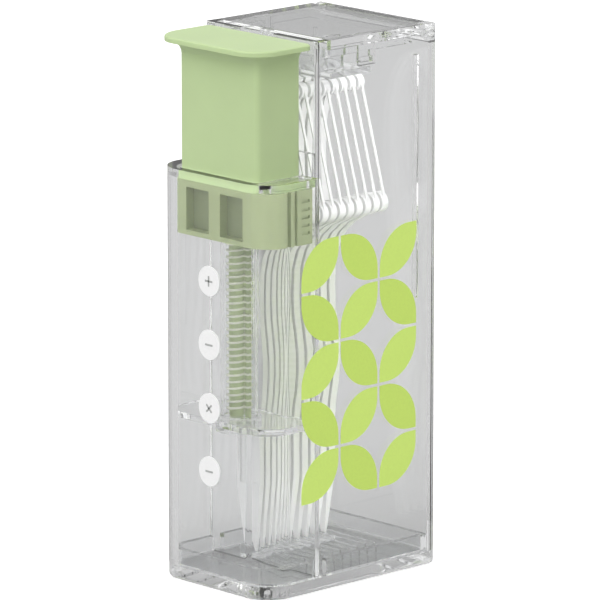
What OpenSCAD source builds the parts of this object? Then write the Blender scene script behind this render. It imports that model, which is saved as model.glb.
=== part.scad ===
// Press-button dispenser for ready-strung floss picks, in millimetres.
// +X runs from the button to the back, +Z is up, and the origin is under the middle of the whole part.

/* [Case] */
// Length of the case from its front face to its back
case_l = 38.5; // [38.3:0.1:46]
// Width of the case across both chambers
case_w = 26.4; // [26.2:0.2:32]
// Height of the closed case
case_h = 90; // [90:1:96]
// Height of the rim round the button chamber
rim_h = 68; // [67.6:0.1:68.4]
// Distance from the front face to the tall part
step_d = 11.4; // [11.2:0.1:12]
// Thickness of the outer walls
wall = 1.5; // [1.2:0.1:1.6]
// Thickness of the wall between the two chambers
divider_t = 1; // [0.8:0.1:1.2]
// Thickness of the bottom plate
base_t = 2.3; // [2:0.1:3]
// Radius of the upright corners at the front
front_r = 5.2; // [4:0.2:5.6]
// Radius of the upright corners at the back
back_r = 2; // [1.8:0.1:2.4]

/* [Button] */
// How far the cap stands out in front of the case
cap_front = 1.3; // [1:0.1:3]
// Width of the cap
cap_w = 24.4; // [23.8:0.2:25]
// Thickness of the cap
cap_t = 0.9; // [0.8:0.1:1.2]
// Width of the button's body
body_w = 18.2; // [17:0.2:19]
// How far the button can be pressed
stroke = 17; // [10:0.5:17]

/* [Spring] */
// Wire thickness
wire_d = 0.4; // [0.3:0.02:0.42]
// Mean diameter of the coils
coil_d = 3.04; // [3:0.02:3.2]
// Number of coils
coils = 42; // [20:1:44]

/* [Picks] */
// Number of picks in the row
pick_count = 9; // [1:1:9]
// Distance from one pick to the next
pick_pitch = 1.9; // [1.8:0.05:1.95]
// Thickness of a pick
pick_t = 1.3; // [1.2:0.05:1.5]
// Width of a pick's handle
handle_w = 4; // [3.4:0.1:4.4]

/* [Lid] */
// Thickness of the lid
lid_t = 1.6; // [1.4:0.1:1.6]

/* [Hidden] */
$fn = 48;

over = 1;            // how far a cutter runs past what it cuts
sheet = 0.01;        // thickness of the slices that a blended shape is made of
touch = 0.05;        // play between two pieces that are fixed together
slide_gap = 0.2;     // play between a sliding piece and its guide
case_front = cap_front - (case_l + cap_front) / 2;
inner_w = case_w - 2 * wall;
inner_front_r = front_r - wall;
lid_seat_z = case_h - lid_t;
magazine_d = step_d + divider_t;

clear_tint = [0.86, 0.87, 0.88, 0.45];
button_green = [0.73, 0.82, 0.62];
foot_green = [0.68, 0.75, 0.58];
pick_white = [0.96, 0.96, 0.95];

// Button chamber: the lip under the rim stops the foot at the top of its travel
lip_z = rim_h - 1.5;
lip_gap = 0.15;
body_front_d = wall + 0.3;
body_back_d = step_d - slide_gap;
button_wall = 1.3;
cap_top_z = case_h - 0.4;
foot_top_z = lip_z - slide_gap;
foot_bottom_z = 57.4;

// The spring, its rod and its tube share one upright axis
axis_d = 6.5;
rod_r = 1.2;
rod_end_z = 27.2;
rod_hole_r = rod_r + 0.08;
shelf_top_z = 28;
shelf_t = 1.1;
spring_top_z = foot_bottom_z + 17.6;
tube_r = 2.6;
tube_wall = 0.5;
tube_top_z = foot_bottom_z - 0.4;
foot_bore_r = tube_r + 0.35;
boss_r = 2.3;

// Divider and ejector
divider_top_z = 71.8;
tongue_y = 4;
tongue_w = 3;
tongue_low_z = 58.2;
tooth_count = 5;
tooth_pitch = 1.5;
slot_w = tongue_w + 0.6;
slot_high_z = tongue_low_z + tooth_count * tooth_pitch + 2;
slot_low_z = tongue_low_z - stroke - 2;

// Row of picks
first_pick_d = magazine_d + 0.1;
row_end_d = first_pick_d + pick_count * pick_pitch;
tip_z = 3.4;
tip_top_z = 15;
handle_y = 4;
web_t = 0.7;
rail_w = 0.8;
floss_w = 0.5;
floss_t = 0.3;

// Lid and its hinge
lid_front_d = first_pick_d + pick_t + slide_gap;
barrel_r = lid_t;
hinge_d = case_l - barrel_r - 0.1;
pin_r = 0.8;
pin_gap = 0.05;
clip_d = [21.4, 24];
clip_low_z = 85.3;
retainer_z = [83.4, 84.4];

// Position along X of a point this far behind the front face
function fx(d) = case_front + d;

function unit(v) = v / norm(v);

// Smooth step from 0 to 1
function ease(t) = let (c = min(1, max(0, t))) c * c * (3 - 2 * c);

// Plan w wide between two distances behind the front face, with rounded front and back corners
module plan(d0, d1, w, front, back) {
    len = d1 - d0;
    translate([fx(d0), 0]) {
        translate([front, -w / 2])
            square([len - front - back, w]);
        translate([0, -w / 2 + front])
            square([len / 2, w - 2 * front]);
        translate([len / 2, -w / 2 + back])
            square([len / 2, w - 2 * back]);
        for (s = [-1, 1]) {
            translate([front, s * (w / 2 - front)])
                circle(front);
            translate([len - back, s * (w / 2 - back)])
                circle(back);
        }
    }
}

// Box between two distances behind the front face, w wide about y
module bar(d0, d1, y, w, z0, z1) {
    translate([fx(d0), y - w / 2, z0])
        cube([d1 - d0, w, z1 - z0]);
}

// Upright cylinder on the axis of the spring
module post(r, z0, z1) {
    translate([fx(axis_d), 0, z0])
        cylinder(r = r, h = z1 - z0);
}

// Level cylinder on the axis of the hinge
module hinge_bar(r, len) {
    translate([fx(hinge_d), 0, lid_seat_z])
        rotate([90, 0, 0])
            cylinder(r = r, h = len, center = true);
}

module tall_block() {
    translate([0, 0, base_t])
        linear_extrude(case_h - base_t)
            plan(step_d, case_l, case_w, 0.4, back_r);
}

module case_hollows() {
    // Magazine
    translate([0, 0, base_t - over])
        linear_extrude(case_h)
            plan(magazine_d, case_l - wall, inner_w, 0.3, back_r - wall);
    // Button chamber, up to the lip
    translate([0, 0, base_t - over])
        linear_extrude(lip_z - base_t + over)
            plan(wall, step_d + over, inner_w, inner_front_r, 0.1);
    // Opening in the lip for the button's body
    translate([0, 0, lip_z - over])
        linear_extrude(rim_h - lip_z + 2 * over)
            plan(wall, step_d, body_w + 2 * lip_gap, 1, 0.1);
    // Place of the divider
    bar(step_d - sheet, magazine_d + over, 0, inner_w, base_t - over, divider_top_z);
    // Thumb notch in front of the first pick
    bar(step_d - over, magazine_d + over, 1.2, 7.8, case_h - 3, case_h + over);
    // Seat of the lid
    bar(lid_front_d, case_l + over, 0, case_w + over, lid_seat_z, case_h + over);
    // Room for the hinge barrel over the back wall
    bar(hinge_d - barrel_r - 0.3, case_l + over, 0, inner_w, lid_seat_z - barrel_r - 0.2, case_h);
}

// Rounded ears at the sides that carry the lid's pins
module hinge_ears() {
    intersection() {
        difference() {
            hinge_bar(barrel_r, case_w);
            hinge_bar(barrel_r + over, inner_w);
        }
        tall_block();
    }
}

module case_shell() {
    color(clear_tint)
        difference() {
            union() {
                difference() {
                    union() {
                        translate([0, 0, base_t])
                            linear_extrude(rim_h - base_t)
                                plan(0, case_l, case_w, front_r, back_r);
                        tall_block();
                    }
                    case_hollows();
                }
                hinge_ears();
                // Upright ribs behind the row of picks
                for (s = [-1, 1])
                    bar(33.7, 34.4, s * (inner_w / 2 - 0.3), 0.8, 45, 85);
            }
            hinge_bar(pin_r + pin_gap, case_w + 2 * over);
            // Open channels that the lid's clips drop into
            for (s = [-1, 1])
                bar(clip_d[0] - 0.8, clip_d[1] + 0.4, s * inner_w / 2, 1.2, clip_low_z - 0.4, case_h);
        }
}

// Bottom plate with a rounded lower edge and a plug rim that stands inside the walls
module base_plate() {
    edge = 0.6;
    rim_t = 1.1;
    rim_top_z = base_t + 2.6;
    color(clear_tint) {
        translate([0, 0, edge])
            linear_extrude(base_t - edge)
                plan(0, case_l, case_w, front_r, back_r);
        hull()
            for (a = [0:22.5:90])
                translate([0, 0, (edge - sheet) * (1 - cos(a))])
                    linear_extrude(sheet)
                        let (inset = edge * (1 - sin(a)))
                            plan(inset, case_l - inset, case_w - 2 * inset, front_r - inset, back_r - inset);
        difference() {
            translate([0, 0, base_t])
                linear_extrude(rim_top_z - base_t)
                    plan(wall + touch, case_l - wall - touch, inner_w - 2 * touch,
                         inner_front_r - touch, back_r - wall);
            translate([0, 0, base_t])
                linear_extrude(rim_top_z)
                    plan(wall + rim_t, case_l - wall - rim_t, inner_w - 2 * rim_t,
                         inner_front_r - rim_t, 0.2);
            bar(step_d - touch, lid_front_d, 0, case_w, base_t, rim_top_z + over);
        }
    }
}

// Wall between the two chambers, with a slot that the ejector runs in
module divider_wall() {
    color(clear_tint)
        difference() {
            bar(step_d, magazine_d, 0, inner_w, base_t, divider_top_z);
            bar(step_d - over, magazine_d + over, tongue_y, slot_w, slot_low_z, slot_high_z);
        }
}

// Shelf that the spring and its tube stand on, with a collar under the rod's hole
module spring_shelf() {
    collar = 1.4;
    color(clear_tint)
        difference() {
            union() {
                translate([0, 0, shelf_top_z - shelf_t])
                    linear_extrude(shelf_t)
                        plan(wall, step_d, inner_w, inner_front_r, 0.1);
                post(tube_r + 0.8, shelf_top_z - shelf_t - collar, shelf_top_z);
            }
            post(rod_hole_r, shelf_top_z - shelf_t - collar - over, shelf_top_z + over);
        }
}

module spring_tube() {
    color(clear_tint)
        difference() {
            post(tube_r, shelf_top_z, tube_top_z);
            post(tube_r - tube_wall, shelf_top_z - over, tube_top_z + over);
        }
}

// Strip of fins that the pointed ends stand between
module tip_comb() {
    fin_y = [-7, 7];
    fin_t = 0.5;
    fin_top_z = base_t + 1.8;
    strip_w = 3;
    strip_t = 0.6;
    color(clear_tint) {
        bar(first_pick_d, row_end_d + fin_t, handle_y, strip_w, base_t, base_t + strip_t);
        for (i = [1:pick_count])
            let (mid_d = first_pick_d + i * pick_pitch - (pick_pitch - pick_t) / 2)
                bar(mid_d - fin_t / 2, mid_d + fin_t / 2, (fin_y[0] + fin_y[1]) / 2, fin_y[1] - fin_y[0],
                    base_t, fin_top_z);
    }
}

// Lid plate, hinge barrel with its stub pins, locating rail and side clips
module top_lid() {
    rail_z = lid_seat_z - 1.4;
    rail_w = inner_w - 0.4;
    rail_end_d = 33;
    rail_t = 1.1;
    color(clear_tint) {
        // Plate, as wide as the case up to the ears and narrower between them
        bar(lid_front_d, hinge_d - barrel_r - slide_gap, 0, case_w, lid_seat_z, case_h);
        bar(hinge_d - barrel_r - over, hinge_d, 0, rail_w, lid_seat_z, case_h);
        hinge_bar(barrel_r, rail_w);
        hinge_bar(pin_r, case_w - 0.8);
        // Rail under the plate, inside the walls
        difference() {
            bar(lid_front_d + 0.3, rail_end_d, 0, rail_w, rail_z, lid_seat_z);
            bar(lid_front_d + 0.3 + rail_t, rail_end_d - rail_t, 0, rail_w - 2 * rail_t,
                rail_z - over, lid_seat_z + over);
        }
        // Clips, each with a foot turned outwards into its channel
        for (s = [-1, 1]) {
            bar(clip_d[0], clip_d[1], s * (inner_w / 2 - 0.7), 1, clip_low_z, lid_seat_z);
            bar(clip_d[0], clip_d[1], s * (inner_w / 2 + 0.05), 0.6, clip_low_z, clip_low_z + 0.9);
        }
    }
}

// Bar hung under the lid, close over the waiting picks
module pick_retainer() {
    strut_d = [16.4, 20];
    color(clear_tint) {
        bar(lid_front_d + 1, clip_d[1], 0, inner_w - 0.6, retainer_z[0], retainer_z[1]);
        for (s = [-1, 1])
            bar(strut_d[0], strut_d[1], s * 8.7, 1.2, retainer_z[1], lid_seat_z);
    }
}

// Outline of the button's body, grown by a margin on every side but the back
module button_plan(margin) {
    plan(body_front_d - margin, body_back_d, body_w + 2 * margin, 1 + margin, 0.5);
}

module push_button() {
    cap_bottom_z = cap_top_z - cap_t;
    cap_front_r = 5;
    cap_back_r = 1.3;
    ease_edge = 0.3;
    flare_r = 2.2;
    flare_steps = 6;
    color(button_green)
        difference() {
            union() {
                // Cap with an eased top edge
                translate([0, 0, cap_bottom_z])
                    linear_extrude(cap_t - ease_edge)
                        plan(-cap_front, body_back_d, cap_w, cap_front_r, cap_back_r);
                hull()
                    for (e = [0, 0.3, 1])
                        translate([0, 0, cap_top_z - ease_edge + (ease_edge - sheet) * sqrt(e)])
                            linear_extrude(sheet)
                                let (inset = ease_edge * e)
                                    plan(inset - cap_front, body_back_d - inset, cap_w - 2 * inset,
                                         cap_front_r - inset, cap_back_r - inset);
                // Concave flare from the body out to the cap, a quarter round in section
                for (i = [0:flare_steps - 1])
                    hull()
                        for (a = [i, i + 1] * 90 / flare_steps)
                            translate([0, 0, cap_bottom_z - flare_r * (1 - sin(a))])
                                linear_extrude(sheet)
                                    button_plan(flare_r * (1 - cos(a)));
                translate([0, 0, foot_top_z])
                    linear_extrude(cap_bottom_z - foot_top_z)
                        button_plan(0);
            }
            // Hollow, with a boss left round the rod
            difference() {
                bar(body_front_d + button_wall, body_back_d - button_wall, 0, body_w - 2 * button_wall,
                    foot_top_z - over, cap_bottom_z - 0.8);
                post(boss_r, spring_top_z, case_h);
            }
            post(rod_r, spring_top_z - over, spring_top_z + 6);
        }
}

// Block under the button, wider than the lip's opening
module slider_foot() {
    pocket_y = 3.95;
    pocket_w = 5.3;
    pocket_z = [58.2, 65.2];
    pocket_depth = 1.6;
    lug_w = 4.6;
    foot_w = inner_w - 2 * slide_gap;
    color(foot_green)
        difference() {
            union() {
                translate([0, 0, foot_bottom_z])
                    linear_extrude(foot_top_z - foot_bottom_z)
                        plan(wall + slide_gap, body_back_d, foot_w, inner_front_r - slide_gap, 0.4);
                // Lugs that plug into the hollow body
                for (s = [-1, 1])
                    bar(body_front_d + button_wall + touch, body_back_d - button_wall - touch,
                        s * (body_w / 2 - button_wall - touch - lug_w / 2), lug_w,
                        foot_top_z, foot_top_z + 5.5);
            }
            post(foot_bore_r, foot_bottom_z - over, foot_top_z + 6);
            // Two pockets in the front face
            for (s = [-1, 1])
                bar(wall, wall + slide_gap + pocket_depth, s * pocket_y, pocket_w, pocket_z[0], pocket_z[1]);
            // Upright grooves at the front of both sides
            for (s = [-1, 1], d = [5.6, 7])
                bar(d, d + 0.7, s * foot_w / 2, 1, foot_bottom_z - over, foot_top_z + over);
            // Short level grooves at the back of both sides
            for (s = [-1, 1], i = [0:4])
                bar(8.6, 10.4, s * foot_w / 2, 0.7, 59 + i * 1.3, 59.5 + i * 1.3);
        }
}

module guide_rod() {
    color(foot_green) {
        post(rod_r, rod_end_z + rod_r, spring_top_z + 6);
        translate([fx(axis_d), 0, rod_end_z + rod_r])
            sphere(r = rod_r);
    }
}

// Centre line of the wire: a helix whose two ends turn upright against their seats
coil_rings = 8;
wire_sides = 6;
helix_low = shelf_top_z + 2 * wire_d;
helix_high = spring_top_z - 2 * wire_d;
function coil_point(k) = let (a = 360 * k / coil_rings, t = k / (coils * coil_rings))
    [fx(axis_d) + coil_d / 2 * cos(a), coil_d / 2 * sin(a), helix_low + (helix_high - helix_low) * t];
function over_point(p, z) = [p[0], p[1], z];
coil_start = coil_point(0);
coil_end = coil_point(coils * coil_rings);
wire_path = concat(
    [over_point(coil_start, shelf_top_z), over_point(coil_start, shelf_top_z + wire_d)],
    [for (k = [1:coils * coil_rings - 1]) coil_point(k)],
    [over_point(coil_end, spring_top_z - wire_d), over_point(coil_end, spring_top_z)]);

// Ring of points round the wire: level at the straight ends, square to the wire elsewhere
function wire_ring(p, i) = let (
    last = len(p) - 1,
    straight = i < 2 || i > last - 2,
    way = straight ? [0, 0, 1] : unit(p[i + 1] - p[i - 1]),
    out = unit([p[i][0] - fx(axis_d), p[i][1], 0]),
    side = unit(cross(way, out)),
    up = cross(side, way))
    [for (j = [0:wire_sides - 1]) let (a = 360 * j / wire_sides)
        p[i] + wire_d / 2 * (cos(a) * up + sin(a) * side)];

// Least clear gap between one coil and the next
coil_gap = min([for (k = [coil_rings:(coils - 1) * coil_rings])
    norm(coil_point(k) - coil_point(k - coil_rings)) - wire_d]);
echo(coil_gap = coil_gap);

module return_spring() {
    rings = [for (i = [0:len(wire_path) - 1]) wire_ring(wire_path, i)];
    n = len(rings);
    s = wire_sides;
    skin = [for (i = [0:n - 2], j = [0:s - 1], half = [0, 1])
        let (a = i * s + j, b = i * s + (j + 1) % s)
            half == 0 ? [a, a + s, b] : [b, a + s, b + s]];
    low_end = [for (j = [1:s - 2]) [0, j, j + 1]];
    high_end = [for (j = [1:s - 2]) [(n - 1) * s, (n - 1) * s + j + 1, (n - 1) * s + j]];
    color("silver")
        polyhedron(points = [for (r = rings) each r], faces = concat(skin, low_end, high_end));
}

// Toothed tongue that reaches through the divider's slot to the front pick
module ejector_tongue() {
    tooth = 0.5;
    reach_d = magazine_d;
    high_z = tongue_low_z + tooth_count * tooth_pitch;
    color(button_green)
        translate([0, tongue_y + tongue_w / 2, 0])
            rotate([90, 0, 0])
                linear_extrude(tongue_w)
                    polygon(concat(
                        [[fx(body_back_d), tongue_low_z]],
                        [for (i = [0:tooth_count - 1]) each [
                            [fx(reach_d - tooth), tongue_low_z + i * tooth_pitch],
                            [fx(reach_d), tongue_low_z + (i + 1) * tooth_pitch - 0.2]]],
                        [[fx(reach_d - tooth), high_z], [fx(body_back_d), high_z]]));
}

// Round pads in a row down the front face
module front_dots() {
    dot_r = 2.5;
    dot_t = 0.3;
    low_dot_z = 19.6;
    dot_pitch = 10.45;
    color(pick_white)
        for (i = [0:3])
            translate([fx(-dot_t), 0, low_dot_z + i * dot_pitch])
                rotate([0, 90, 0])
                    cylinder(r = dot_r, h = dot_t);
}

// Centre line of a pick in the YZ plane, each point with its half width.
// The handle waves towards the printed side a third of the way up.
function wave(z) = -1.2 * ease((z - 24) / 9) * ease((44 - z) / 9);
handle_line = [for (z = [tip_top_z:3:45]) [handle_y + wave(z), z, handle_w / 2]];
bow_line = [[4.1, 48, 2], [4.5, 53, 1.9], [5.1, 58, 1.8], [5.6, 63, 1.7], [5.8, 68, 1.6], [5.5, 73, 1.55],
    [4.6, 76.8, 1.5], [3, 79.7, 1.4], [1, 81.3, 1.3], [-1.2, 81.8, 1.2], [-3.3, 81.1, 1.1]];
arm_line = [[4, 46, 2], [3.9, 50, 2.1], [2.9, 53.6, 2.2], [1, 56.6, 2.2], [-1.8, 58.8, 2], [-5.2, 60.3, 1.8],
    [-8.6, 61.2, 1.6]];
point = [handle_y, tip_z, 0.35];
spine = concat(handle_line, bow_line);
knuckle_low = [-8.7, 61.3];
knuckle_low_r = 1.65;
knuckle_high = [-3.5, 80.2];
knuckle_high_r = 1.3;

// Both edges of a centre line as one outline, taken in by an inset
function flat(p) = [p[0], p[1]];
function edges(p, inset) = let (
    last = len(p) - 1,
    out = [for (i = [0:last]) let (way = unit(flat(p[min(i + 1, last)]) - flat(p[max(i - 1, 0)])))
        [-way[1], way[0]] * (p[i][2] - inset)])
    concat([for (i = [0:last]) flat(p[i]) + out[i]], [for (i = [last:-1:0]) flat(p[i]) - out[i]]);

module circle_at(middle, r) {
    translate(middle)
        circle(r);
}

// Upright slab of an outline drawn in Y and Z, from x0, t thick
module upright(x0, t) {
    translate([x0, 0, 0])
        rotate([90, 0, 90])
            linear_extrude(t)
                children();
}

// Slab of a pick along a centre line, with its arm and knuckles, taken in by an inset
module pick_slab(x0, t, line, inset) {
    upright(x0, t)
        polygon(edges(line, inset));
    upright(x0, t)
        polygon(edges(arm_line, inset));
    upright(x0, t)
        circle_at(knuckle_low, knuckle_low_r - inset);
    upright(x0, t)
        circle_at(knuckle_high, knuckle_high_r - inset);
}

// Straight strip along the outer side of both knuckles, reaching t outwards from the tape's inner face
module floss_line(t) {
    run = unit(knuckle_high - knuckle_low);
    out = [-run[1], run[0]];
    sunk = 0.3;
    low = knuckle_low + out * (knuckle_low_r - sunk);
    high = knuckle_high + out * (knuckle_high_r - sunk);
    polygon([low, low + out * t, high + out * t, high]);
}

// Pick number i: a thin web between two rails, and a flat pointed end that thins downwards
module pick_frame(i) {
    x0 = fx(first_pick_d + (i - 1) * pick_pitch);
    tip_t = 0.5;
    color(pick_white)
        difference() {
            intersection() {
                pick_slab(x0, pick_t, concat([point], spine), 0);
                translate([0, case_w / 2, 0])
                    rotate([90, 0, 0])
                        linear_extrude(case_w)
                            polygon([[x0, tip_top_z - 2], [x0 + (pick_t - tip_t) / 2, tip_z],
                                     [x0 + (pick_t + tip_t) / 2, tip_z], [x0 + pick_t, tip_top_z - 2],
                                     [x0 + pick_t, case_h], [x0, case_h]]);
            }
            for (x = [x0 - over, x0 + (pick_t + web_t) / 2])
                pick_slab(x, (pick_t - web_t) / 2 + over, spine, rail_w);
            upright(x0 + (pick_t - floss_w) / 2, floss_w)
                floss_line(over);
        }
}

module pick_floss(i) {
    x0 = fx(first_pick_d + (i - 1) * pick_pitch + (pick_t - floss_w) / 2);
    color([0.9, 0.9, 0.89])
        upright(x0, floss_w)
            floss_line(floss_t);
}

case_shell();
base_plate();
divider_wall();
spring_shelf();
spring_tube();
tip_comb();
top_lid();
pick_retainer();
push_button();
slider_foot();
guide_rod();
return_spring();
ejector_tongue();
front_dots();
for (i = [1:pick_count])
    pick_frame(i);
for (i = [1:pick_count])
    pick_floss(i);
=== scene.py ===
import itertools
import math

import bmesh
import bpy
from bpy.props import FloatProperty, FloatVectorProperty, IntProperty, PointerProperty
from mathutils import Matrix, Vector


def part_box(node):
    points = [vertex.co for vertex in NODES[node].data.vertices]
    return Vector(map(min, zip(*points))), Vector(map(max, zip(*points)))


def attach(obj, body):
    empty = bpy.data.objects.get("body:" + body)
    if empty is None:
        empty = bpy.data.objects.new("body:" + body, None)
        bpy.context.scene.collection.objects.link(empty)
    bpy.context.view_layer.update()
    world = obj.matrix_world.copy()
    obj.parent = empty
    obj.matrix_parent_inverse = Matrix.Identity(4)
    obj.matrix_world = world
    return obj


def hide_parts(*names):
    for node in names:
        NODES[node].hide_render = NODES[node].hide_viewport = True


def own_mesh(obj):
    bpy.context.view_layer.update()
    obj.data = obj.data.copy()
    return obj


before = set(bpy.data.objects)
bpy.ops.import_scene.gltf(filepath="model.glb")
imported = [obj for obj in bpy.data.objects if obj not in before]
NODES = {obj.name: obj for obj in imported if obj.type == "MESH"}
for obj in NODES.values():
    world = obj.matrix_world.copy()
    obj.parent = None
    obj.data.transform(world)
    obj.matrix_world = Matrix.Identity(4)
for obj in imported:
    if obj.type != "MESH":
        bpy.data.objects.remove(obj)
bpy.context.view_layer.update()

bl_info = {
    "name": "Floss pick dispenser",
    "version": (1, 0, 0),
    "blender": (4, 5, 0),
    "location": "3D View > Sidebar > Dispenser",
    "description": "Dresses a clear press-button dispenser for floss picks",
    "category": "Add Mesh",
}

MM = 0.001
PICK_COUNT = sum(name.startswith("pick_frame_") for name in NODES)

# Places that the frame gives
CASE_LOW, CASE_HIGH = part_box("case_shell")
SPRING_LOW, SPRING_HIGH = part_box("return_spring")
DOTS_LOW, DOTS_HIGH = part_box("front_dots")

# Names and tints of the thin and the thick clear mouldings
THIN_CLEAR = ("clear_moulding", (0.985, 0.988, 0.99))
THICK_CLEAR = ("clear_thick_moulding", (0.90, 0.905, 0.91))

# Rounding: radii of the edges, and the edges and faces that are long and wide enough for it
INNER_EDGE_SHARE = 0.6
EDGE_RADII = {
    "slider_foot": 0.1 * MM, "guide_rod": 0.1 * MM, "ejector_tongue": 0.08 * MM,
    "pick_frame": 0.12 * MM, "pick_floss": 0.05 * MM, "front_dots": 0.08 * MM}
SHARP_ANGLE = math.radians(35)
ROOM_IN_RADII = 2.2

# Copies of the solids: nearer corners are welded, flatter creases go, and gaps keep walls apart
WELD = 0.012 * MM
FLAT_ANGLE = math.radians(0.5)
CASE_GAP = 0.03 * MM
FINE_GAP = 0.015 * MM

POCKET_DEPTH = 1.6 * MM
STEPS_PER_COIL, WIRE_SIDES = 24, 10

# Print on the side wall and signs on the pads
SUNK = 0.02 * MM
PRINT_COLUMNS, PRINT_ROWS = 3, 5
PRINT_GAP = 0.5 * MM
PRINT_CORNER = Vector((CASE_LOW.x + 7.6 * MM, CASE_LOW.y, 15 * MM))
PAD_PITCH = 10.45 * MM
PAD_SIGNS = [[0.0], [math.radians(45), math.radians(135)], [0.0], [0.0, math.radians(90)]]
SIGN_LENGTH, SIGN_WIDTH = 1.7 * MM, 0.3 * MM
LEAF_ROUND_SHARE, LEAF_ARC_STEPS = 0.8, 12

# Tones of the floor and the backdrop for each kind of light path
FLOOR_SIZE = 6
FLOOR_LIT, FLOOR_SEEN = 0.52, 0.9
FLOOR_GLOW, FLOOR_INSIDE = 0.3, 1.3
BACKDROP_TOP, BACKDROP_SIDE = 1.05, 0.3
BACKDROP_HORIZON, BACKDROP_INSIDE, BACKDROP_SEEN = 0.4, 1.8, 1.0


# Settings

class DispenserSizes(bpy.types.PropertyGroup):
    edge_round: FloatProperty(
        name="Case edge", description="Radius of the moulded edges of the clear case",
        default=0.22 * MM, unit="LENGTH")
    wire: FloatProperty(
        name="Spring wire", description="Thickness of the spring's wire",
        default=0.4 * MM, unit="LENGTH")
    coils: IntProperty(
        name="Coils", description="Number of coils of the spring", default=42, min=4, max=60)
    print_rise: FloatProperty(
        name="Print thickness", description="How far the side print stands proud of the wall",
        default=0.04 * MM, unit="LENGTH")
    tile: FloatProperty(
        name="Leaf size", description="Width of one leaf of the side print",
        default=8.2 * MM, unit="LENGTH")


class DispenserColours(bpy.types.PropertyGroup):
    button: FloatVectorProperty(
        name="Button", description="Colour of the button", subtype="COLOR",
        default=(0.50, 0.63, 0.33))
    foot: FloatVectorProperty(
        name="Foot", description="Colour of the block under the button", subtype="COLOR",
        default=(0.325, 0.378, 0.207))
    rod: FloatVectorProperty(
        name="Rod", description="Colour of the rod inside the spring", subtype="COLOR",
        default=(0.52, 0.62, 0.32))
    # Painted shade: a darker green for the bottom of the foot's pockets, standing in for the shade
    # that falls there
    pocket: FloatVectorProperty(
        name="Pocket", description="Deeper tone at the bottom of the foot's pockets", subtype="COLOR",
        default=(0.192, 0.225, 0.125))
    picks: FloatVectorProperty(
        name="Picks", description="Colour of the picks", subtype="COLOR",
        default=(0.93, 0.93, 0.925))
    print_light: FloatVectorProperty(
        name="Light print", description="Lighter colour of the side print", subtype="COLOR",
        default=(0.70, 0.93, 0.20))
    print_dark: FloatVectorProperty(
        name="Deep print", description="Deeper colour of the side print", subtype="COLOR",
        default=(0.65, 0.87, 0.165))


class DispenserView(bpy.types.PropertyGroup):
    turn: FloatProperty(
        name="Turn", description="Azimuth of the camera round the object",
        default=math.radians(-43.5623), subtype="ANGLE")
    rise: FloatProperty(
        name="Rise", description="Elevation of the camera over the horizon",
        default=math.radians(12.767), subtype="ANGLE")
    distance: FloatProperty(
        name="Distance", description="Distance of the camera from the point it looks at",
        default=1.0789, unit="LENGTH")
    lens: FloatProperty(
        name="Lens", description="Focal length on a 36 mm sensor, in millimetres", default=400.32)
    aim: FloatVectorProperty(
        name="Aim", description="Point that the camera looks at", subtype="XYZ",
        default=(0.183 * MM, -1.118 * MM, 45.092 * MM))


# Node trees

def place(tree, kind, **settings):
    """Adds a node; settings named after inputs fill them, the others are its own properties."""
    node = tree.nodes.new(kind)
    for name, value in settings.items():
        socket = node.inputs.get(name.replace("_", " ").title())
        if hasattr(node, name):
            setattr(node, name, value)
        elif socket is not None:
            socket.default_value = value
        else:
            raise RuntimeError(f"{kind} has no {name}")
    return node


def calculate(tree, operation, *values):
    """Output of a math node whose inputs are numbers or other outputs."""
    node = place(tree, "ShaderNodeMath", operation=operation)
    for socket, value in zip(node.inputs, values):
        if isinstance(value, bpy.types.NodeSocket):
            tree.links.new(value, socket)
        else:
            socket.default_value = value
    return node.outputs[0]


def new_material(name, colour, roughness, **settings):
    material = bpy.data.materials.new(name)
    material.use_nodes = True
    material.diffuse_color = (*colour, 1)
    tree = material.node_tree
    shader = tree.nodes["Principled BSDF"]
    shader.inputs["Base Color"].default_value = (*colour, 1)
    shader.inputs["Roughness"].default_value = roughness
    for name, value in settings.items():
        shader.inputs[name.replace("_", " ").title().replace("Ior", "IOR")].default_value = value
    return material, tree, shader


def object_noise(tree, scale, detail=3.0, stretch=(1, 1, 1)):
    """Noise in the object's own space, with scale in features per metre."""
    where = place(tree, "ShaderNodeTexCoord")
    turn = place(tree, "ShaderNodeMapping", scale=stretch)
    noise = place(tree, "ShaderNodeTexNoise", scale=scale, detail=detail)
    tree.links.new(where.outputs["Object"], turn.inputs["Vector"])
    tree.links.new(turn.outputs["Vector"], noise.inputs["Vector"])
    return noise.outputs["Fac"]


def vary_colour(tree, shader, factor, colour, spread):
    """Base colour that drifts between a darker and a lighter tone."""
    ramp = place(tree, "ShaderNodeValToRGB")
    low, high = ramp.color_ramp.elements
    low.position, high.position = 0.3, 0.7
    low.color = (*[c * (1 - spread) for c in colour], 1)
    high.color = (*[min(1, c * (1 + spread)) for c in colour], 1)
    tree.links.new(factor, ramp.inputs["Fac"])
    tree.links.new(ramp.outputs["Color"], shader.inputs["Base Color"])


def vary_roughness(tree, shader, factor, low, high):
    spread = place(tree, "ShaderNodeMapRange", to_min=low, to_max=high)
    tree.links.new(factor, spread.inputs["Value"])
    tree.links.new(spread.outputs["Result"], shader.inputs["Roughness"])


def roughen(tree, shader, factor, strength, depth):
    bump = place(tree, "ShaderNodeBump", strength=strength, distance=depth)
    tree.links.new(factor, bump.inputs["Height"])
    tree.links.new(bump.outputs["Normal"], shader.inputs["Normal"])


# Finishes

FINISHES = {}


def clear_plastic(name, tint):
    material, tree, shader = new_material(
        name, tint, 0.02, transmission_weight=1.0, ior=1.49)
    flow = object_noise(tree, scale=90, detail=2.0, stretch=(1, 1, 0.35))
    vary_roughness(tree, shader, flow, low=0.0, high=0.03)
    roughen(tree, shader, flow, strength=0.06, depth=0.05 * MM)
    return material


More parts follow.
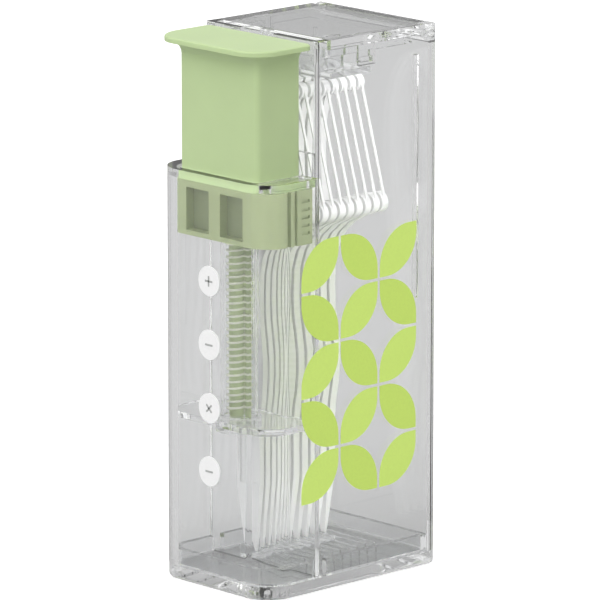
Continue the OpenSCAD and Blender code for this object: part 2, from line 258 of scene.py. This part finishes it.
def satin_plastic(name, colour):
    roughness = 0.42
    material, tree, shader = new_material(
        name, colour, roughness, ior=1.5, subsurface_weight=0.12, subsurface_scale=0.8 * MM)
    shader.inputs["Subsurface Radius"].default_value = (1.0, 1.0, 0.6)
    drift = object_noise(tree, scale=120)
    grain = object_noise(tree, scale=5200, detail=2.0)
    vary_colour(tree, shader, drift, colour, spread=0.02)
    vary_roughness(tree, shader, drift, low=roughness - 0.05, high=roughness + 0.06)
    roughen(tree, shader, grain, strength=0.12, depth=0.03 * MM)
    return material


def white_plastic(colour):
    material, tree, shader = new_material("pick_plastic", colour, 0.32, ior=1.5)
    drift = object_noise(tree, scale=300, stretch=(1, 1, 0.2))
    vary_colour(tree, shader, drift, colour, spread=0.015)
    vary_roughness(tree, shader, drift, low=0.26, high=0.4)
    roughen(tree, shader, drift, strength=0.1, depth=0.04 * MM)
    return material


def floss_fibre():
    colour = (0.9, 0.9, 0.89)
    material, tree, shader = new_material(
        "floss_fibre", colour, 0.6, sheen_weight=0.3, sheen_roughness=0.4)
    fibres = object_noise(tree, scale=2600, detail=2.0, stretch=(4, 1, 0.3))
    vary_colour(tree, shader, fibres, colour, spread=0.05)
    roughen(tree, shader, fibres, strength=0.4, depth=0.03 * MM)
    return material


def spring_steel():
    colour = (0.95, 0.98, 0.84)
    material, tree, shader = new_material("drawn_wire", colour, 0.3, metallic=0.35)
    drawn = object_noise(tree, scale=900, stretch=(1, 1, 6))
    vary_colour(tree, shader, drawn, colour, spread=0.05)
    vary_roughness(tree, shader, drawn, low=0.24, high=0.42)
    return material


def print_ink(name, colour):
    roughness = 0.5
    material, tree, shader = new_material(name, colour, roughness, ior=1.5)
    screen = object_noise(tree, scale=3000, detail=2.0)
    vary_colour(tree, shader, screen, colour, spread=0.02)
    vary_roughness(tree, shader, screen, low=roughness - 0.08, high=roughness + 0.08)
    roughen(tree, shader, screen, strength=0.15, depth=0.01 * MM)
    return material


def finish_of(make, *values):
    """Material made once for each set of values."""
    if (make, values) not in FINISHES:
        FINISHES[make, values] = make(*values)
    return FINISHES[make, values]


# Meshes

def link_new(name, mesh):
    piece = bpy.data.objects.new(name, mesh)
    bpy.context.collection.objects.link(piece)
    return piece


def own_object(name, mesh, material, body, slot, *replaced):
    """Piece with one material, on its body, for the nodes that it replaces. The slot argument is not
    used.
    """
    piece = link_new(name, mesh)
    mesh.materials.clear()
    mesh.materials.append(material)
    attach(piece, body)
    if replaced:
        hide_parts(*replaced)
    return piece


def clean_copy(node, gap=0.0):
    """The node's solid as a mesh of whole faces, drawn in by a gap."""
    shape = bmesh.new()
    shape.from_mesh(NODES[node].data)
    bmesh.ops.remove_doubles(shape, verts=shape.verts, dist=WELD)
    bmesh.ops.dissolve_limit(
        shape, angle_limit=FLAT_ANGLE, verts=shape.verts, edges=shape.edges)
    shape.normal_update()
    if gap:
        moves = [(v, v.normal * v.calc_shell_factor() * gap) for v in shape.verts]
        for v, move in moves:
            v.co -= move
    return shape


def narrow(face):
    """Shortest height of a face over its longest edge."""
    longest = max(e.calc_length() for e in face.edges)
    return face.calc_area() / longest


def round_edges(shape, radius):
    """Rounds the sharp edges that have room for the radius."""
    room = ROOM_IN_RADII * radius
    sharp = [
        e for e in shape.edges
        if len(e.link_faces) == 2 and e.calc_face_angle() > SHARP_ANGLE
        and min(narrow(f) for f in e.link_faces) > room
        and e.calc_length() > room]
    bmesh.ops.bevel(
        shape, geom=sharp, offset=radius, offset_type="OFFSET", segments=2, profile=0.5,
        affect="EDGES", clamp_overlap=True, material=-1)


def to_mesh(shape, name):
    """Turns the edited shape into a smooth mesh with creases at its sharp edges."""
    mesh = bpy.data.meshes.new(name)
    shape.to_mesh(mesh)
    shape.free()
    # The frame's own corner normals don't fit the new faces
    if "custom_normal" in mesh.attributes:
        mesh.attributes.remove(mesh.attributes["custom_normal"])
    mesh.shade_smooth()
    mesh.set_sharp_from_angle(angle=SHARP_ANGLE)
    return mesh


def even_shading(piece):
    """Lets the large faces set the shading of the rounded edges between them."""
    weigh = piece.modifiers.new("even_shading", "WEIGHTED_NORMAL")
    weigh.keep_sharp = True
    return piece


def rounded_copy(node, name, radius, material, body, slot, gap=0.0):
    """Piece made from a node's solid, with its edges rounded."""
    shape = clean_copy(node, gap)
    round_edges(shape, radius)
    return even_shading(own_object(name, to_mesh(shape, name), material, body, slot, node))


# Pieces

class DISPENSER_OT_case(bpy.types.Operator):
    """Clear case with its base, inner wall, shelf, tube and comb"""
    bl_idname = "dispenser.case"
    bl_label = "Clear case"

    def execute(self, context):
        edge = context.scene.dispenser_sizes.edge_round
        clear = finish_of(clear_plastic, *THIN_CLEAR)
        thick = finish_of(clear_plastic, *THICK_CLEAR)
        rounded_copy("case_shell", "clear_case", edge, clear, "case", "clear_plastic")
        for node, name, finish in [
                ("base_plate", "clear_base", thick), ("divider_wall", "inner_wall", clear),
                ("spring_shelf", "shelf", clear), ("spring_tube", "tube", clear),
                ("tip_comb", "comb", clear)]:
            rounded_copy(
                node, name, edge * INNER_EDGE_SHARE, finish, "case", "clear_plastic", CASE_GAP)
        return {"FINISHED"}


class DISPENSER_OT_lid(bpy.types.Operator):
    """Clear refill lid and the bar under it"""
    bl_idname = "dispenser.lid"
    bl_label = "Lid"

    def execute(self, context):
        edge = context.scene.dispenser_sizes.edge_round * INNER_EDGE_SHARE
        clear = finish_of(clear_plastic, *THIN_CLEAR)
        thick = finish_of(clear_plastic, *THICK_CLEAR)
        rounded_copy("top_lid", "clear_lid", edge, clear, "lid", "clear_plastic", FINE_GAP)
        rounded_copy("pick_retainer", "retainer", edge, thick, "lid", "clear_plastic", FINE_GAP)
        return {"FINISHED"}


class DISPENSER_OT_button(bpy.types.Operator):
    """Green button, the block under it, its rod and its toothed tongue"""
    bl_idname = "dispenser.button"
    bl_label = "Button"

    def execute(self, context):
        colours = context.scene.dispenser_colours
        green = finish_of(satin_plastic, "button_green", tuple(colours.button))
        grey_green = finish_of(satin_plastic, "foot_green", tuple(colours.foot))
        cap = to_mesh(clean_copy("push_button"), "button_cap")
        even_shading(own_object("button_cap", cap, green, "button", "button_plastic", "push_button"))
        foot = rounded_copy(
            "slider_foot", "button_foot", EDGE_RADII["slider_foot"], grey_green, "button",
            "foot_plastic")
        # Painted shade: the faces at the bottom of the pockets take a second, darker material in
        # place of the shade that falls in them
        foot.data.materials.append(finish_of(satin_plastic, "pocket_green", tuple(colours.pocket)))
        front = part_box("slider_foot")[0].x
        for face in foot.data.polygons:
            faces_front = face.normal.x < -0.99
            share = (face.center.x - front) / POCKET_DEPTH
            if faces_front and 0.8 < share < 1.2:
                face.material_index = 1
        pale_green = finish_of(satin_plastic, "rod_green", tuple(colours.rod))
        rounded_copy(
            "guide_rod", "rod", EDGE_RADII["guide_rod"], pale_green, "button", "foot_plastic")
        rounded_copy(
            "ejector_tongue", "tongue", EDGE_RADII["ejector_tongue"], green, "button",
            "button_plastic")
        return {"FINISHED"}


class DISPENSER_OT_spring(bpy.types.Operator):
    """Round steel wire wound round the rod"""
    bl_idname = "dispenser.spring"
    bl_label = "Spring"

    def execute(self, context):
        sizes = context.scene.dispenser_sizes
        wire_r = sizes.wire / 2
        middle = (SPRING_LOW + SPRING_HIGH) / 2
        coil_r = (SPRING_HIGH.x - SPRING_LOW.x) / 2 - wire_r
        length = SPRING_HIGH.z - SPRING_LOW.z
        end_room = 2 * sizes.wire
        run = length - 2 * end_room
        steps = sizes.coils * STEPS_PER_COIL
        shape = bmesh.new()
        start = Vector((middle.x + coil_r, middle.y, SPRING_LOW.z + end_room))
        ring = bmesh.ops.create_circle(
            shape, segments=WIRE_SIDES, radius=wire_r, cap_ends=True,
            matrix=Matrix.Translation(start) @ Matrix.Rotation(math.radians(90), 4, "X"))
        faces = {f for v in ring["verts"] for f in v.link_faces}
        bmesh.ops.spin(
            shape, geom=[*ring["verts"], *shape.edges, *faces], cent=(middle.x, middle.y, 0),
            axis=(0, 0, 1), dvec=(0, 0, run / steps), angle=math.tau * sizes.coils, steps=steps)
        bmesh.ops.recalc_face_normals(shape, faces=shape.faces)
        steel = finish_of(spring_steel)
        spring = own_object(
            "spring_wire", to_mesh(shape, "spring_wire"), steel, "case", "spring_steel",
            "return_spring")
        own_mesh(spring)
        return {"FINISHED"}


class DISPENSER_OT_picks(bpy.types.Operator):
    """White pick frames with their floss"""
    bl_idname = "dispenser.picks"
    bl_label = "Picks"

    def execute(self, context):
        white = finish_of(white_plastic, tuple(context.scene.dispenser_colours.picks))
        fibre = finish_of(floss_fibre)
        for i in range(1, PICK_COUNT + 1):
            body = "front_pick" if i == 1 else "case"
            rounded_copy(
                f"pick_frame_{i}", f"pick_{i}", EDGE_RADII["pick_frame"], white, body,
                "white_plastic")
            rounded_copy(
                f"pick_floss_{i}", f"floss_{i}", EDGE_RADII["pick_floss"], fibre, body,
                "floss_tape")
        return {"FINISHED"}


class DISPENSER_OT_front_pads(bpy.types.Operator):
    """Round white pads on the front face"""
    bl_idname = "dispenser.front_pads"
    bl_label = "Front pads"

    def execute(self, context):
        white = finish_of(print_ink, "white_ink", (0.9, 0.9, 0.9))
        rounded_copy(
            "front_dots", "front_pads", EDGE_RADII["front_dots"], white, "case", "white_print",
            FINE_GAP)
        return {"FINISHED"}


def add_slab(shape, outline, push):
    """Thin closed solid from an outline and the vector of its thickness."""
    face = shape.faces.new([shape.verts.new(point) for point in outline])
    grown = bmesh.ops.extrude_face_region(shape, geom=[face])
    moved = [item for item in grown["geom"] if isinstance(item, bmesh.types.BMVert)]
    bmesh.ops.translate(shape, verts=moved, vec=push)
    bmesh.ops.recalc_face_normals(shape, faces=shape.faces)


def add_leaf(shape, corner, size, leans, rise):
    """Leaf on the side wall: a square with two opposite corners rounded."""
    radius = LEAF_ROUND_SHARE * size
    outline = []
    for x, z, start in [(size - radius, radius, -90), (radius, size - radius, 90)]:
        for step in range(LEAF_ARC_STEPS + 1):
            angle = math.radians(start + step * 90 / LEAF_ARC_STEPS)
            outline.append((x + radius * math.cos(angle), z + radius * math.sin(angle)))
        outline.append((size, size) if start < 0 else (0, 0))
    if not leans:
        outline = [(size - x, z) for x, z in reversed(outline)]
    sunk = Vector((0, SUNK, 0))
    add_slab(shape, [corner + sunk + Vector((x, 0, z)) for x, z in outline],
             Vector((0, -rise - SUNK, 0)))


def add_bar(shape, middle, turn, rise):
    """Short bar of a sign, flat on a front pad."""
    along = Vector((0, math.cos(turn), math.sin(turn))) * SIGN_LENGTH / 2
    across = Vector((0, -math.sin(turn), math.cos(turn))) * SIGN_WIDTH / 2
    sunk = Vector((SUNK, 0, 0))
    corners = [along + across, along - across, -along - across, -along + across]
    add_slab(shape, [middle + sunk + corner for corner in corners], Vector((-rise - SUNK, 0, 0)))


class DISPENSER_OT_print(bpy.types.Operator):
    """Lime leaves on the side wall and small grey signs on the front pads"""
    bl_idname = "dispenser.print"
    bl_label = "Print"

    def execute(self, context):
        sizes = context.scene.dispenser_sizes
        colours = context.scene.dispenser_colours
        inks = [("light", tuple(colours.print_light)), ("deep", tuple(colours.print_dark))]
        pitch = sizes.tile + PRINT_GAP
        for shade, (tone, colour) in enumerate(inks):
            ink = finish_of(print_ink, f"{tone}_ink", colour)
            shape = bmesh.new()
            for column, row in itertools.product(range(PRINT_COLUMNS), range(PRINT_ROWS)):
                if (column + row) % 2 == shade:
                    corner = PRINT_CORNER + Vector((column * pitch, 0, row * pitch))
                    add_leaf(shape, corner, sizes.tile, shade == 0, sizes.print_rise)
            name = f"{tone}_leaves"
            own_object(name, to_mesh(shape, name), ink, "case", "white_print")
        grey = finish_of(print_ink, "grey_ink", (0.42, 0.43, 0.42))
        shape = bmesh.new()
        middle_y = (DOTS_LOW.y + DOTS_HIGH.y) / 2
        radius = (DOTS_HIGH.y - DOTS_LOW.y) / 2
        for i, turns in enumerate(PAD_SIGNS):
            height = DOTS_LOW.z + radius + i * PAD_PITCH
            for turn in turns:
                add_bar(shape, Vector((DOTS_LOW.x, middle_y, height)), turn, sizes.print_rise)
        own_object("pad_signs", to_mesh(shape, "pad_signs"), grey, "case", "white_print")
        return {"FINISHED"}


class DISPENSER_OT_stage(bpy.types.Operator):
    """Pale floor, soft light and the camera"""
    bl_idname = "dispenser.stage"
    bl_label = "Stage"

    def execute(self, context):
        make_floor()
        make_world(context.scene)
        make_lamp("key_light", place_at=(-1.4, -0.5, 1.3), size=1.2, power=10)
        make_lamp("fill_light", place_at=(0.5, -1.8, 0.9), size=1.4, power=0.6)
        make_camera(context.scene)
        context.scene.view_settings.view_transform = "Standard"
        # Light crosses many clear walls, and runs along inside them
        light_paths = context.scene.cycles
        light_paths.max_bounces = light_paths.transmission_bounces = 32
        light_paths.glossy_bounces = 16
        return {"FINISHED"}


def matt_behind_walls(tree, ray):
    """1 for light on matt pieces behind clear walls, which turn some of it away, and else 0."""
    matt = calculate(tree, "MINIMUM", ray.outputs["Diffuse Depth"], 1.0)
    return calculate(tree, "MULTIPLY", ray.outputs["Is Transmission Ray"], matt)


def straight_through_walls(tree, ray):
    """1 for what the camera sees through clear walls alone, and else 0."""
    straight = calculate(tree, "LESS_THAN", ray.outputs["Diffuse Depth"], 0.5)
    return calculate(tree, "MULTIPLY", ray.outputs["Is Transmission Ray"], straight)


def make_floor():
    shape = bmesh.new()
    bmesh.ops.create_grid(shape, x_segments=1, y_segments=1, size=FLOOR_SIZE)
    floor = link_new("floor", bpy.data.meshes.new("floor"))
    shape.to_mesh(floor.data)
    shape.free()
    material, tree, shader = new_material("floor_card", (FLOOR_SEEN,) * 3, 0.9)
    ray = place(tree, "ShaderNodeLightPath")
    tone = place(tree, "ShaderNodeMix", data_type="RGBA")
    tone.inputs["A"].default_value = (FLOOR_LIT, FLOOR_LIT, FLOOR_LIT, 1)
    tone.inputs["B"].default_value = (FLOOR_SEEN, FLOOR_SEEN, FLOOR_SEEN, 1)
    tree.links.new(ray.outputs["Is Camera Ray"], tone.inputs["Factor"])
    tree.links.new(tone.outputs["Result"], shader.inputs["Base Color"])
    inside = calculate(tree, "MULTIPLY", matt_behind_walls(tree, ray), FLOOR_INSIDE)
    glow = calculate(tree, "MULTIPLY_ADD", ray.outputs["Is Camera Ray"], FLOOR_GLOW, inside)
    shader.inputs["Emission Color"].default_value = (1, 1, 1, 1)
    tree.links.new(glow, shader.inputs["Emission Strength"])
    floor.data.materials.append(material)


def make_world(scene):
    world = bpy.data.worlds.new("studio")
    scene.world = world
    world.use_nodes = True
    tree = world.node_tree
    background = tree.nodes["Background"]
    way = place(tree, "ShaderNodeTexCoord")
    split = place(tree, "ShaderNodeSeparateXYZ")
    tree.links.new(way.outputs["Generated"], split.inputs[0])
    rise = place(
        tree, "ShaderNodeMapRange", from_min=0.0, from_max=0.5, to_min=0.0, to_max=BACKDROP_TOP)
    tree.links.new(split.outputs["Z"], rise.inputs["Value"])
    side = place(
        tree, "ShaderNodeMapRange", from_min=-0.8, from_max=0.2, to_min=BACKDROP_SIDE, to_max=0.0)
    tree.links.new(split.outputs["X"], side.inputs["Value"])
    both = calculate(tree, "ADD", rise.outputs["Result"], side.outputs["Result"])
    # Seen straight through the clear walls, the backdrop stays grey down to the horizon
    ray = place(tree, "ShaderNodeLightPath")
    through = straight_through_walls(tree, ray)
    horizon = calculate(tree, "MULTIPLY", through, BACKDROP_HORIZON)
    lifted = calculate(tree, "MAXIMUM", both, horizon)
    behind = matt_behind_walls(tree, ray)
    inside = calculate(tree, "MULTIPLY_ADD", behind, BACKDROP_INSIDE, lifted)
    seen = place(tree, "ShaderNodeMix", data_type="FLOAT")
    seen.inputs["B"].default_value = BACKDROP_SEEN
    tree.links.new(ray.outputs["Is Camera Ray"], seen.inputs["Factor"])
    tree.links.new(inside, seen.inputs["A"])
    tree.links.new(seen.outputs["Result"], background.inputs["Strength"])
    background.inputs["Color"].default_value = (1, 1, 1, 1)


def make_lamp(name, place_at, size, power):
    data = bpy.data.lights.new(name, "AREA")
    data.size = size
    data.energy = power
    lamp = bpy.data.objects.new(name, data)
    lamp.location = place_at
    target = Vector((0, 0, CASE_HIGH.z / 2))
    lamp.rotation_euler = (target - lamp.location).to_track_quat("-Z", "Y").to_euler()
    bpy.context.collection.objects.link(lamp)


def make_camera(scene):
    view = scene.dispenser_view
    data = bpy.data.cameras.new("camera")
    data.sensor_width = 36
    data.lens = view.lens
    data.clip_end = 20
    camera = bpy.data.objects.new("camera", data)
    back = Vector((
        math.sin(view.turn) * math.cos(view.rise), -math.cos(view.turn) * math.cos(view.rise),
        math.sin(view.rise)))
    camera.location = Vector(view.aim) + back * view.distance
    camera.rotation_mode = "QUATERNION"
    camera.rotation_quaternion = (-back).to_track_quat("-Z", "Y")
    scene.collection.objects.link(camera)
    scene.camera = camera


# Panel and registration

STEPS = [
    DISPENSER_OT_case, DISPENSER_OT_lid, DISPENSER_OT_button, DISPENSER_OT_spring,
    DISPENSER_OT_picks, DISPENSER_OT_front_pads, DISPENSER_OT_print, DISPENSER_OT_stage]


class DISPENSER_PT_panel(bpy.types.Panel):
    bl_idname = "DISPENSER_PT_panel"
    bl_label = "Floss pick dispenser"
    bl_space_type = "VIEW_3D"
    bl_region_type = "UI"
    bl_category = "Dispenser"

    def draw(self, context):
        for settings in (context.scene.dispenser_sizes, context.scene.dispenser_colours,
                         context.scene.dispenser_view):
            for name in settings.__annotations__:
                self.layout.prop(settings, name)
        for step in STEPS:
            self.layout.operator(step.bl_idname)


SETTINGS = {
    "dispenser_sizes": DispenserSizes,
    "dispenser_colours": DispenserColours,
    "dispenser_view": DispenserView,
}


def register():
    for name, kind in SETTINGS.items():
        bpy.utils.register_class(kind)
        setattr(bpy.types.Scene, name, PointerProperty(type=kind))
    for kind in [*STEPS, DISPENSER_PT_panel]:
        bpy.utils.register_class(kind)


def unregister():
    for kind in [DISPENSER_PT_panel, *reversed(STEPS)]:
        bpy.utils.unregister_class(kind)
    for name, kind in SETTINGS.items():
        delattr(bpy.types.Scene, name)
        bpy.utils.unregister_class(kind)


def main():
    register()
    for step in STEPS:
        group, name = step.bl_idname.split(".")
        if getattr(getattr(bpy.ops, group), name)() != {"FINISHED"}:
            raise RuntimeError(f"{step.bl_label} was not made")


if __name__ == "__main__":
    main()
